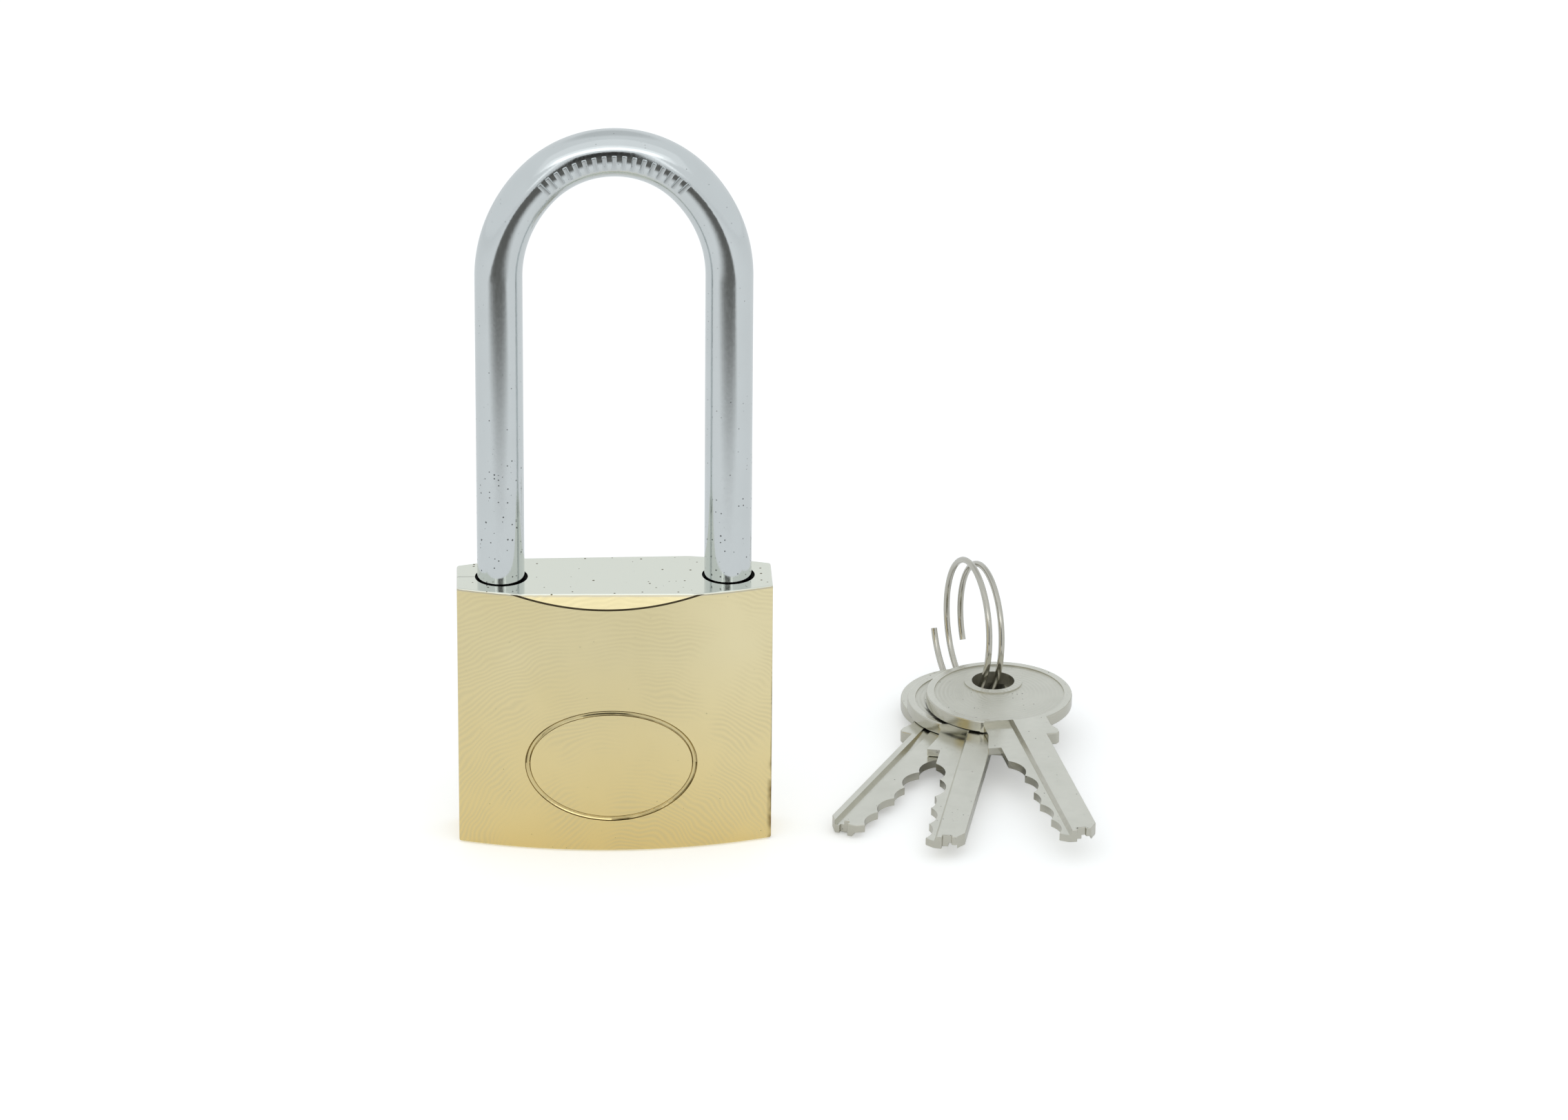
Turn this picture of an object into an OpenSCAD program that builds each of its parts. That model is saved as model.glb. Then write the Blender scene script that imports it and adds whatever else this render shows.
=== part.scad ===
// Long-shackle brass padlock with its three keys on a wire ring.
// The lock stands on its base: +Z is up, the toe leg is at +X and the decorated face looks along -Y.
// It is drawn shut with the latch drawn back, so the shackle is free to rise.

/* [Body] */
// Width of the body
body_w = 50; // [48:0.5:54]
// Height of the body
body_h = 43.8; // [43.6:0.2:48]
// Thickness of the body at its narrow sides
side_t = 9.5; // [9:0.1:12]
// How far each broad face bulges beyond the narrow sides
face_bulge = 4.4; // [3.4:0.1:5]
// Thickness left flat on the top between the two chamfers
top_flat_t = 15.4; // [13:0.2:16.6]
// How far each top chamfer runs down the broad face
chamfer_drop = 2; // [1:0.1:3]

/* [Shackle] */
// Diameter of the shackle rod
rod_d = 7.5; // [6.6:0.1:7.8]
// Distance of each leg's centre line from the nearest narrow side
leg_edge = 7; // [6.8:0.1:7.6]
// Straight length of each leg above the body
leg_above = 50.4; // [20:0.2:80]
// Centre line radius of the bow where it leaves each leg
bow_side_r = 22; // [21.4:0.1:26]
// Length of the toe leg inside the body
toe_depth = 9.6; // [9.4:0.1:9.8]
// Height of the heel leg's end above the base
heel_end_z = 11.5; // [9:0.1:12]
// Travel of the shackle when it is let go
lift = 11; // [10.6:0.1:12]
// Depth of the latch notch in the toe leg
notch_depth = 2.75; // [2.4:0.05:3]
// Depth of the retaining groove in the heel leg
heel_groove_depth = 0.95; // [0.9:0.05:1.2]

/* [Cylinder] */
// Diameter of the cylinder plug
plug_d = 10.6; // [10.4:0.1:11]
// Depth of the plug's inner end below the top of the body
plug_top_depth = 9.4; // [9.2:0.1:9.6]
// How far the plug's face sits inside the base
plug_recess = 0; // [0:0.1:0.4]
// Distance of the plug's axis from the middle of the body
plug_x = 2; // [1:0.5:3]
// Radius at which the crank pin stands on the tailpiece, which is also the latch's travel
crank_r = 2.8; // [2.6:0.05:2.9]
// Diameter of the crank pin
crank_pin_d = 1.6; // [1.4:0.1:1.8]
// Thickness of the tailpiece's disc
tail_t = 1.2; // [0.8:0.1:1.4]
// Diameter of the pin that keeps the plug in the body
plug_pin_d = 1.5; // [1.2:0.1:1.8]
// Height of that pin above the base
plug_pin_z = 3.2; // [2.4:0.1:4]

/* [Latch] */
// Diameter of the latch bolt
latch_d = 4.9; // [4.6:0.1:5]
// Thickness of the wall between the latch's bore and the heel leg's bore
latch_bore_wall = 2.7; // [2:0.1:3.2]
// Depth of the latch's axis below the top of the body
latch_depth = 4.8; // [4.6:0.1:4.9]
// Length of the plug that closes the latch bore
latch_bore_plug_len = 2.6; // [2:0.1:2.8]

/* [Tumblers] */
// Diameter of the tumbler pins
tumbler_d = 2.9; // [2.6:0.1:3.2]
// Height of the lowest tumbler above the base
first_tumbler_z = 8.7; // [8.5:0.1:9.2]
// Distance of the highest tumbler from the plug's inner end
last_tumbler_depth = 4.5; // [4.2:0.1:5.5]
// Length of each driver pin
driver_len = 4.5; // [3:0.1:6]
// Length of the plug that closes each tumbler chamber
cap_len = 2; // [1.5:0.1:2.5]

/* [Springs] */
// Wire diameter of the shackle spring
shackle_spring_wire = 0.8; // [0.6:0.05:0.9]
// Wire diameter of the latch spring
latch_spring_wire = 0.5; // [0.4:0.05:0.6]
// Wire diameter of the tumbler springs
tumbler_spring_wire = 0.35; // [0.25:0.05:0.4]

/* [Keys] */
// Thickness of a key
key_t = 2.1; // [1.9:0.05:2.3]
// Diameter of a key's round bow
bow_d = 24.2; // [23:0.1:25]
// Diameter of the hole in the bow
hole_d = 7.1; // [6.8:0.1:7.6]
// Distance of the hole from the centre of the bow
hole_off = 4.5; // [4:0.1:4.8]
// Width of the blade
blade_w = 8.2; // [8:0.1:8.4]
// How far the blade's tip stops short of the plug's inner end
blade_short = 1; // [0.4:0.1:1.6]
// Distance from the centre of the bow to the stop
stop_u = 19.3; // [18:0.1:20]
// Width across the two stops
stop_w = 12.6; // [11.6:0.2:13.4]
// How much nearer the bow the stop on the spine side sits
stop_rise = 2.2; // [1.4:0.2:2.8]
// Width of the raised rim round the bow
rim_w = 1.3; // [0.8:0.1:2]
// Depth of the sunken field inside the rim
field_depth = 0.2; // [0.1:0.05:0.3]
// Radius of the cutter that made the bitting
cutter_r = 4.2; // [3.8:0.1:4.6]
// Depth code of each cut, from the stop to the tip
bitting = [1, 3, 1, 3, 3];
// Depth of a cut with code zero
cut_base = 1.6; // [1.4:0.1:1.8]
// Added depth for each step of the code
cut_step = 0.4; // [0.2:0.05:0.45]

/* [Key ring] */
// Diameter of the ring's wire
wire_d = 1.05; // [0.9:0.05:1.1]
// Radius of the ring at the centre of its wire
ring_r = 11.7; // [11.5:0.1:11.9]
// Distance between neighbouring turns of the wire
ring_pitch = 2.4; // [2:0.1:2.6]

/* [Fits] */
// Radial clearance of the shackle's legs in their bores
shackle_clear = 0.1; // [0.05:0.01:0.1]
// Radial clearance of the plug, the latch and the tumblers
fine_clear = 0.05; // [0.03:0.01:0.08]
// Radial clearance of a pin or plug pressed into the body
press_clear = 0.01; // [0.01:0.01:0.02]
// Clearance all round the key in its keyway
key_clear = 0.15; // [0.1:0.05:0.2]
// Gap left between the flat faces of stacked pieces
face_gap = 0.05; // [0.02:0.01:0.1]
// Countersink at the mouth of each shackle bore
mouth = 0.45; // [0.2:0.05:0.6]

/* [Hidden] */
$fn = 96;
over = 1;

// Body
mid_t = side_t + 2 * face_bulge;
face_r = (pow(body_w / 2, 2) + pow(face_bulge, 2)) / (2 * face_bulge);

// Shackle
rod_r = rod_d / 2;
leg_x = body_w / 2 - leg_edge;
leg_bore_r = rod_r + shackle_clear;
spring_line_z = body_h + leg_above;
side_arc_x = bow_side_r - leg_x;
top_arc_r = bow_side_r - side_arc_x * sqrt(2);
toe_tip_z = body_h - toe_depth;
leg_end_chamfer = 0.5;
toe_floor_gap = 0.6;
heel_spring_len = 7.4;
heel_floor_z = heel_end_z - heel_spring_len;

// Retaining pin of the heel leg
heel_pin_d = 2.2;
heel_pin_play = 0.12;
heel_groove_z = heel_end_z + 1.5;
heel_groove_len = lift + heel_pin_d + 2 * heel_pin_play;
heel_pin_z = heel_groove_z + heel_groove_len - heel_pin_play - heel_pin_d / 2;
heel_pin_nose_x = -leg_x - rod_r + heel_groove_depth - heel_pin_play;
pin_recess = 0.25;

// Cylinder
plug_r = plug_d / 2;
plug_bore_r = plug_r + fine_clear;
plug_top_z = body_h - plug_top_depth;
plug_len = plug_top_z - plug_recess;
latch_z = body_h - latch_depth;
tail_top_z = plug_top_z + face_gap + tail_t;
latch_r = latch_d / 2;
latch_bore_r = latch_r + fine_clear;
crank_top_z = latch_z - 1.2;
crank_room = 0.3;
chamber_top_z = crank_top_z + crank_room;
plug_groove_depth = 0.75;
plug_groove_w = plug_pin_d + 0.2;
plug_pin_bite = 0.6;
plug_pin_x = plug_x + plug_r + plug_pin_d / 2 - plug_pin_bite;
plug_pin_len = 11;

// Latch, drawn back at rest
latch_nose_gap = 0.3;
latch_nose_x = leg_x - rod_r - latch_nose_gap;
latch_bore_end_x = latch_bore_wall + leg_bore_r - leg_x;
latch_spring_len = 5.4;
latch_tail_x = latch_bore_end_x + latch_spring_len;
notch_room = 0.35;
crank_slack = 0.75;
slot_w = crank_pin_d + 2 * crank_slack;

// Tumblers
tumbler_r = tumbler_d / 2;
tumbler_bore_r = tumbler_r + fine_clear;
tumbler_count = len(bitting);
tumbler_pitch = (plug_top_z - last_tumbler_depth - first_tumbler_z) / (tumbler_count - 1);
driver_x = plug_x + plug_bore_r + fine_clear;
driver_end_x = driver_x + driver_len;
cap_x = body_w / 2 - cap_len;
key_pin_tip_h = 1;
key_pin_bevel = 0.5;
key_pin_end_r = plug_r - 3 * fine_clear;
chamber_root = 0;

// Keys
bow_r = bow_d / 2;
hole_r = hole_d / 2;
blade_h = blade_w / 2;
blade_len = plug_len - blade_short;
stop_y = -hole_off - stop_u;
tip_y = stop_y - blade_len;
step_v = -0.2;
step_depth = 0.95;
groove_v = 1.5;
groove_w = 1.5;
groove_depth = 0.7;
stop_len = 3.4;

// Where the bunch of keys lies: the ring stands upright and the bows are stacked on it
stack_tilt = 1.8;
stack_y = 45;
stack_z = 1.75;
layer = key_t + face_gap;
ring_yaw = 16.6;
ring_lean = 2.2;
ring_pos = [60.8, 51.7, ring_r + wire_d / 2 + 0.02];
ring_start = 200;
ring_end = 930;
ring_mid = 540;
left_hole = [62.7, 46.3];
middle_hole = [62.4, 41.9];
right_hole = [63.8, 39.8];
left_yaw = -25.9;
middle_yaw = -11.3;
right_yaw = 8.9;

function tumbler_z(i) = first_tumbler_z + i * tumbler_pitch;
// Distance of the bottom of cut i from the blade's centre line
function cut_v(i) = blade_h - cut_base - cut_step * bitting[i];

// Section of the blade, or of the keyway that clears it by c: across the blade, then through its thickness
function blade_section(c = 0) = [
    [-blade_h - c, -key_t / 2 - c],
    [groove_v + c, -key_t / 2 - c],
    [groove_v + c, -key_t / 2 + groove_depth - c],
    [groove_v + groove_w - c, -key_t / 2 + groove_depth - c],
    [groove_v + groove_w - c, -key_t / 2 - c],
    [blade_h + c, -key_t / 2 - c],
    [blade_h + c, key_t / 2 + c],
    [step_v - c, key_t / 2 + c],
    [step_v - c, key_t / 2 - step_depth + c],
    [-blade_h - c, key_t / 2 - step_depth + c]];

// A round bar along X, from x0 to x1
module bar_x(x0, x1, r) {
    translate([x0, 0, 0]) rotate([0, 90, 0]) cylinder(h = x1 - x0, r = r);
}

// A wire wound into a helix along Z from z = 0, with its first and last turns closed
module coil(len, r, wire, turns) {
    sides = 6;
    steps = 14;
    n = turns * steps;
    climb = len - wire;
    rings = [for (i = [0:n]) let (
        a = 360 * i / steps,
        open = min(max((i / steps - 0.8) / (turns - 1.6), 0), 1),
        z = wire / 2 + climb * open)
        [for (k = [0:sides - 1]) let (b = 360 * k / sides)
            [(r + wire / 2 * cos(b)) * cos(a), (r + wire / 2 * cos(b)) * sin(a), z + wire / 2 * sin(b)]]];
    tube(rings, sides);
}

// One closed solid through a list of rings of points
module tube(rings, sides) {
    n = len(rings);
    points = [for (ring = rings) each ring];
    skin = [for (i = [0:n - 2], k = [0:sides - 1])
        [i * sides + k, i * sides + (k + 1) % sides, (i + 1) * sides + (k + 1) % sides, (i + 1) * sides + k]];
    first = [for (k = [0:sides - 1]) sides - 1 - k];
    last = [for (k = [0:sides - 1]) (n - 1) * sides + k];
    polyhedron(points, concat([first], skin, [last]), convexity = 10);
}

// Plan of the body: two shallow arcs cut off square at the narrow sides
module body_plan() {
    intersection() {
        translate([0, face_r - mid_t / 2]) circle(r = face_r, $fn = 256);
        translate([0, mid_t / 2 - face_r]) circle(r = face_r, $fn = 256);
        square([body_w, 2 * mid_t], center = true);
    }
}

// What a top chamfer takes off the front or the back
module chamfer_waste() {
    slope = (mid_t - top_flat_t) / 2 / chamfer_drop;
    rotate([90, 0, 90])
        linear_extrude(height = body_w + 2 * over, center = true)
            polygon([[top_flat_t / 2 - over * slope, body_h + over],
                [mid_t, body_h + over],
                [mid_t, body_h - chamfer_drop - over],
                [mid_t / 2 + over * slope, body_h - chamfer_drop - over]]);
}

// A shackle bore from its floor to its countersunk mouth
module leg_bore(floor_z) {
    translate([0, 0, floor_z]) cylinder(h = body_h - floor_z + over, r = leg_bore_r);
    translate([0, 0, body_h - mouth]) cylinder(h = mouth, r1 = leg_bore_r, r2 = leg_bore_r + mouth);
}

module body() {
    color([0.86, 0.75, 0.45])
    difference() {
        linear_extrude(height = body_h) body_plan();
        chamfer_waste();
        mirror([0, 1, 0]) chamfer_waste();
        translate([-leg_x, 0, 0]) leg_bore(heel_floor_z);
        translate([leg_x, 0, 0]) leg_bore(toe_tip_z - toe_floor_gap);
        translate([plug_x, 0, -over]) cylinder(h = chamber_top_z + over, r = plug_bore_r);
        translate([0, 0, latch_z]) bar_x(latch_bore_end_x, body_w / 2 + over, latch_bore_r);
        for (i = [0:tumbler_count - 1])
            translate([0, 0, tumbler_z(i)]) bar_x(plug_x, body_w / 2 + over, tumbler_bore_r);
        translate([0, 0, heel_pin_z]) bar_x(-body_w / 2 - over, -leg_x, heel_pin_d / 2 + press_clear);
        translate([plug_pin_x, mid_t / 2 + over, plug_pin_z]) rotate([90, 0, 0])
            cylinder(h = plug_pin_len + over, r = plug_pin_d / 2 + press_clear);
    }
}

// One arc of the bow, in the XZ plane about (x, z), rising from angle a0 through 45 degrees
module bow_arc(x, z, r, a0) {
    translate([x, 0, z]) rotate([90, 0, 0]) rotate([0, 0, a0])
        rotate_extrude(angle = 45) translate([r, 0]) circle(r = rod_r);
}

// The toe side's half of the bow: a wide arc off the leg, then a tighter one to the top
module half_bow() {
    bow_arc(-side_arc_x, spring_line_z, bow_side_r, 0);
    bow_arc(0, spring_line_z + side_arc_x, top_arc_r, 45);
}

module shackle() {
    color([0.8, 0.83, 0.84])
    difference() {
        union() {
            translate([-leg_x, 0, heel_end_z]) leg(spring_line_z - heel_end_z);
            translate([leg_x, 0, toe_tip_z]) leg(spring_line_z - toe_tip_z);
            half_bow();
            mirror([1, 0, 0]) half_bow();
        }
        // notch that the latch enters
        translate([leg_x - rod_r - over, -rod_d, latch_z - latch_r - notch_room])
            cube([notch_depth + over, 2 * rod_d, latch_d + 2 * notch_room]);
        // flat that slides past the retaining pin
        translate([-leg_x - rod_r - over, -rod_d, heel_groove_z])
            cube([heel_groove_depth + over, 2 * rod_d, heel_groove_len]);
        // ring groove that lets the raised shackle swing round
        translate([-leg_x, 0, heel_groove_z]) difference() {
            cylinder(h = heel_pin_d + 2 * heel_pin_play, r = rod_d);
            cylinder(h = heel_pin_d + 2 * heel_pin_play, r = rod_r - heel_groove_depth);
        }
    }
}

// A straight leg whose lower end is chamfered
module leg(height) {
    cylinder(h = leg_end_chamfer, r1 = rod_r - leg_end_chamfer, r2 = rod_r);
    translate([0, 0, leg_end_chamfer]) cylinder(h = height - leg_end_chamfer, r = rod_r);
}

module shackle_spring() {
    color([0.6, 0.62, 0.64])
    translate([-leg_x, 0, heel_floor_z])
        coil(heel_spring_len, rod_r - shackle_spring_wire, shackle_spring_wire, 6);
}

module heel_pin() {
    color([0.7, 0.7, 0.7])
    translate([0, 0, heel_pin_z]) bar_x(-body_w / 2 + pin_recess, heel_pin_nose_x, heel_pin_d / 2);
}

// The plug is drawn turned by a quarter from its locked place, with its pin chambers towards the back
module cylinder_plug() {
    color([0.83, 0.7, 0.42])
    translate([plug_x, 0, plug_recess])
    difference() {
        linear_extrude(height = plug_len) difference() {
            circle(r = plug_r);
            rotate(-90) polygon(blade_section(key_clear));
        }
        for (i = [0:tumbler_count - 1])
            translate([0, -chamber_root, tumbler_z(i) - plug_recess]) rotate([-90, 0, 0])
                cylinder(h = chamber_root + plug_r + over, r = tumbler_bore_r);
        translate([0, 0, plug_pin_z - plug_recess - plug_groove_w / 2]) difference() {
            cylinder(h = plug_groove_w, r = plug_r + over);
            cylinder(h = plug_groove_w, r = plug_r - plug_groove_depth);
        }
    }
}

module tailpiece() {
    color([0.72, 0.72, 0.7])
    translate([plug_x, 0, plug_top_z + face_gap]) {
        cylinder(h = tail_t, r = plug_r - 0.6);
        translate([0, crank_r, tail_t / 2])
            cylinder(h = crank_top_z - plug_top_z - face_gap - tail_t / 2, r = crank_pin_d / 2);
    }
}

module plug_pin() {
    color([0.7, 0.7, 0.7])
    translate([plug_pin_x, mid_t / 2 - 4 * pin_recess, plug_pin_z]) rotate([90, 0, 0])
        cylinder(h = plug_pin_len - 6 * pin_recess, r = plug_pin_d / 2);
}

module latch() {
    nose_bevel = 0.6;
    color([0.8, 0.7, 0.45])
    difference() {
        translate([0, 0, latch_z]) {
            bar_x(latch_tail_x, latch_nose_x - nose_bevel, latch_r);
            translate([latch_nose_x - nose_bevel, 0, 0]) rotate([0, 90, 0])
                cylinder(h = nose_bevel, r1 = latch_r, r2 = latch_r - nose_bevel);
        }
        // slot that the crank pin runs in
        translate([plug_x - slot_w / 2, -crank_pin_d, latch_z - latch_d])
            cube([slot_w, crank_pin_d + latch_d, latch_d - (latch_z - chamber_top_z)]);
    }
}

module latch_spring() {
    color([0.6, 0.62, 0.64])
    translate([latch_bore_end_x, 0, latch_z]) rotate([0, 90, 0])
        coil(latch_spring_len, latch_r - latch_spring_wire, latch_spring_wire, 7);
}

module latch_bore_plug() {
    color([0.86, 0.75, 0.45])
    translate([0, 0, latch_z])
        bar_x(body_w / 2 - latch_bore_plug_len, body_w / 2 - pin_recess / 2, latch_bore_r - press_clear);
}

module tumbler_caps() {
    color([0.86, 0.75, 0.45])
    for (i = [0:tumbler_count - 1])
        translate([0, 0, tumbler_z(i)])
            bar_x(cap_x, body_w / 2 - pin_recess / 2, tumbler_bore_r - press_clear);
}

module driver_pin(i) {
    bevel = 0.3;
    color([0.8, 0.68, 0.4])
    translate([0, 0, tumbler_z(i)]) {
        bar_x(driver_x + bevel, driver_end_x, tumbler_r);
        translate([driver_x, 0, 0]) rotate([0, 90, 0])
            cylinder(h = bevel, r1 = tumbler_r - bevel, r2 = tumbler_r);
    }
}

// A key pin stands as high as the right key would hold it, with its outer end at the shear line
module key_pin(i) {
    tip_h = cut_v(i) + face_gap;
    color([0.8, 0.68, 0.4])
    translate([plug_x, 0, tumbler_z(i)]) rotate([-90, 0, 0]) {
        translate([0, 0, tip_h + key_pin_tip_h])
            cylinder(h = key_pin_end_r - key_pin_bevel - tip_h - key_pin_tip_h, r = tumbler_r);
        translate([0, 0, key_pin_end_r - key_pin_bevel])
            cylinder(h = key_pin_bevel, r1 = tumbler_r, r2 = tumbler_r - key_pin_bevel);
        translate([0, 0, tip_h])
            cylinder(h = key_pin_tip_h, r1 = tumbler_r - key_pin_tip_h, r2 = tumbler_r);
    }
}

module tumbler_spring(i) {
    color([0.6, 0.62, 0.64])
    translate([driver_end_x, 0, tumbler_z(i)]) rotate([0, 90, 0])
        coil(cap_x - driver_end_x, tumbler_r - tumbler_spring_wire, tumbler_spring_wire, 9);
}

// Outline of the tip: a rounded nose, a small end slot and a bevelled spine corner
module blade_plan() {
    nose_u = 1.9;
    slot_v = 0.6;
    slot_w = 1.5;
    slot_d = 1;
    prong_w = 0.8;
    prong_back = 0.4;
    spine_bevel = 2.2;
    polygon([[-blade_h, stop_y + over],
        [blade_h, stop_y + over],
        [blade_h, tip_y + spine_bevel],
        [slot_v + slot_w + prong_w, tip_y + prong_back],
        [slot_v + slot_w, tip_y + prong_back],
        [slot_v + slot_w, tip_y + slot_d],
        [slot_v, tip_y + slot_d],
        [slot_v, tip_y],
        [-0.8, tip_y + 0.1],
        [-blade_h / 2, tip_y + nose_u / 2],
        [-blade_h, tip_y + nose_u + 1]]);
}

// Outline of the neck: it widens to the stop on the cut side, and the spine side's stop sits higher
module neck_plan() {
    half = stop_w / 2;
    rise_y = stop_y + stop_rise;
    polygon([[-half, stop_y],
        [blade_h, stop_y],
        [blade_h, rise_y],
        [half - 0.5, rise_y],
        [half, rise_y + 0.5],
        [half, rise_y + stop_len / 2],
        [half - 0.7, rise_y + stop_len],
        [half - 0.7, -hole_off - bow_r / 2],
        [-half + 1.2, -hole_off - bow_r / 2],
        [-half + 1.2, stop_y + stop_len + 1.5]]);
}

// One key: underside at z = 0, hole centre at the origin, blade along -Y and cuts on the -X side
module key() {
    section_y = -hole_off - bow_r + 1.2;
    difference() {
        union() {
            translate([0, -hole_off, 0]) cylinder(h = key_t, r = bow_r);
            linear_extrude(height = key_t) neck_plan();
            intersection() {
                translate([0, stop_y + over, key_t / 2]) rotate([90, 0, 0])
                    linear_extrude(height = blade_len + over) polygon(blade_section());
                translate([0, 0, -over]) linear_extrude(height = key_t + 2 * over) blade_plan();
            }
        }
        // the long step and groove run on through the neck
        translate([0, section_y, key_t / 2]) rotate([90, 0, 0])
            linear_extrude(height = section_y - stop_y)
                polygon([[-blade_h - over, key_t / 2 - step_depth], [step_v, key_t / 2 - step_depth],
                    [step_v, key_t], [-blade_h - over, key_t]]);
        translate([groove_v, stop_y - over, -over])
            cube([groove_w, section_y - stop_y + over, groove_depth + over]);
        translate([0, 0, -over]) cylinder(h = key_t + 2 * over, r = hole_r);
        // sunken field on both faces, leaving a rim and a land round the hole
        for (z = [-over, key_t - field_depth])
            translate([0, 0, z]) difference() {
                translate([0, -hole_off, 0]) cylinder(h = field_depth + over, r = bow_r - rim_w);
                translate([0, 0, -over]) cylinder(h = field_depth + 3 * over, r = hole_r + rim_w);
                translate([-bow_r, section_y - bow_r, -over]) cube([bow_d, bow_r, field_depth + 3 * over]);
            }
        for (i = [0:tumbler_count - 1])
            translate([-cut_v(i) - cutter_r, stop_y - tumbler_z(i) + plug_recess, -over])
                cylinder(h = key_t + 2 * over, r = cutter_r);
    }
}

// A key in its layer of the bunch, with its hole over a point and its blade turned by yaw towards +X
module laid_key(at, yaw, level) {
    color([0.78, 0.78, 0.74])
    translate([0, stack_y, stack_z]) rotate([stack_tilt, 0, 0])
        translate([at[0], at[1] - stack_y, level * layer]) rotate([0, 0, yaw]) children();
}

module key_left() {
    laid_key(left_hole, left_yaw, 0) translate([0, 0, key_t]) rotate([0, 180, 0]) key();
}

module key_middle() {
    laid_key(middle_hole, middle_yaw, 1) key();
}

module key_right() {
    laid_key(right_hole, right_yaw, 2) key();
}

module key_ring() {
    sides = 8;
    steps = 150;
    turn = ring_end - ring_start;
    color([0.75, 0.75, 0.73])
    translate(ring_pos) rotate([0, ring_lean, ring_yaw])
        tube([for (i = [0:steps]) let (a = ring_start + turn * i / steps)
            [for (k = [0:sides - 1]) let (b = 360 * k / sides, q = ring_r + wire_d / 2 * cos(b))
                [ring_pitch * (a - ring_mid) / 360 + wire_d / 2 * sin(b), -q * cos(a), q * sin(a)]]], sides);
}

body();
shackle();
shackle_spring();
heel_pin();
cylinder_plug();
tailpiece();
plug_pin();
latch();
latch_spring();
latch_bore_plug();
tumbler_caps();
driver_pin(0);  // driver_pin_1
driver_pin(1);  // driver_pin_2
driver_pin(2);  // driver_pin_3
driver_pin(3);  // driver_pin_4
driver_pin(4);  // driver_pin_5
key_pin(0);  // key_pin_1
key_pin(1);  // key_pin_2
key_pin(2);  // key_pin_3
key_pin(3);  // key_pin_4
key_pin(4);  // key_pin_5
tumbler_spring(0);  // tumbler_spring_1
tumbler_spring(1);  // tumbler_spring_2
tumbler_spring(2);  // tumbler_spring_3
tumbler_spring(3);  // tumbler_spring_4
tumbler_spring(4);  // tumbler_spring_5
key_ring();
key_left();
key_middle();
key_right();
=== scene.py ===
"""A brass padlock with a long steel shackle, standing shut beside its three keys on a wire ring."""
import math

import bmesh
import bpy
from mathutils import Matrix, Vector


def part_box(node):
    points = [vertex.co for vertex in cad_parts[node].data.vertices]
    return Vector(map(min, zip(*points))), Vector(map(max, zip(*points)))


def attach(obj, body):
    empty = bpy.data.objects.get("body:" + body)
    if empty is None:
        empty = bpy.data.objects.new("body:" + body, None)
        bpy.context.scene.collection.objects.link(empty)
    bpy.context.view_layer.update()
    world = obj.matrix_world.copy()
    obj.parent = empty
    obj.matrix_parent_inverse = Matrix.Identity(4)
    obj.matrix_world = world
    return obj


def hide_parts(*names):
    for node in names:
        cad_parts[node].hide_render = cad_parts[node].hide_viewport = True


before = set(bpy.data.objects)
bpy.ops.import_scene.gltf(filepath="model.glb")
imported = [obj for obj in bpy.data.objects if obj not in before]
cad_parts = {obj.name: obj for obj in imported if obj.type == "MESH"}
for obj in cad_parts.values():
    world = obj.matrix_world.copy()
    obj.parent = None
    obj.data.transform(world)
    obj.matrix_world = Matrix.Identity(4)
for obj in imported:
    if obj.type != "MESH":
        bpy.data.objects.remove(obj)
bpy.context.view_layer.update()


# ------------------------------------------------------------------ Body
# A block sawn from drawn brass bar with two bowed faces. Its top edges are chamfered,
# it is drilled for the legs, the cylinder, the latch and the tumblers, then polished and lacquered.
# Every piece is made in millimetres, and goes to metres when it is fitted.
mm = 0.001
body_low, body_high = (Vector(corner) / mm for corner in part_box("body"))
body_w = body_high.x - body_low.x
body_h = body_high.z
mid_t = body_high.y - body_low.y
side_t = 9.5
bulge = (mid_t - side_t) / 2
crown_r = ((body_w / 2) ** 2 + bulge ** 2) / (2 * bulge)
top_flat_t = 15.4
chamfer_drop = 2
chamfer_off = 1.3
half_chamfer = (mid_t - top_flat_t) / 2
leg_x = 18
leg_bore_r = 3.85
leg_mouth_r = 4.2
leg_mouth_depth = 0.9
leg_mouth_off = 0.08


def only(part):
    bpy.ops.object.select_all(action="DESELECT")
    part.select_set(True)
    bpy.context.view_layer.objects.active = part


def new_part(name, operator, **settings):
    """Adds a primitive by itself, with its size and place kept in its mesh."""
    bpy.ops.object.select_all(action="DESELECT")
    operator(**settings)
    part = bpy.context.active_object
    part.name = name
    bpy.ops.object.transform_apply(location=True, rotation=True, scale=True)
    return part


def machine(part, *tools, operation="DIFFERENCE"):
    """Cuts tools out of a part, joins them on or keeps what they share, and puts the tools away."""
    only(tools[0])
    for tool in tools[1:]:
        tool.select_set(True)
    if len(tools) > 1:
        bpy.ops.object.join()
    for piece in (tools[0], part):
        only(piece)
        bpy.ops.object.mode_set(mode="EDIT")
        bpy.ops.mesh.select_all(action="SELECT")
        bpy.ops.mesh.quads_convert_to_tris()
        bpy.ops.object.mode_set(mode="OBJECT")
    cut = part.modifiers.new("cut", "BOOLEAN")
    cut.operation = operation
    cut.solver = "EXACT"
    cut.use_self = len(tools) > 1
    cut.object = tools[0]
    bpy.ops.object.modifier_apply(modifier=cut.name)
    bpy.data.objects.remove(tools[0])
    bpy.ops.object.mode_set(mode="EDIT")
    bpy.ops.mesh.select_all(action="SELECT")
    bpy.ops.mesh.remove_doubles(threshold=0.001)
    bpy.ops.object.mode_set(mode="OBJECT")


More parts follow.
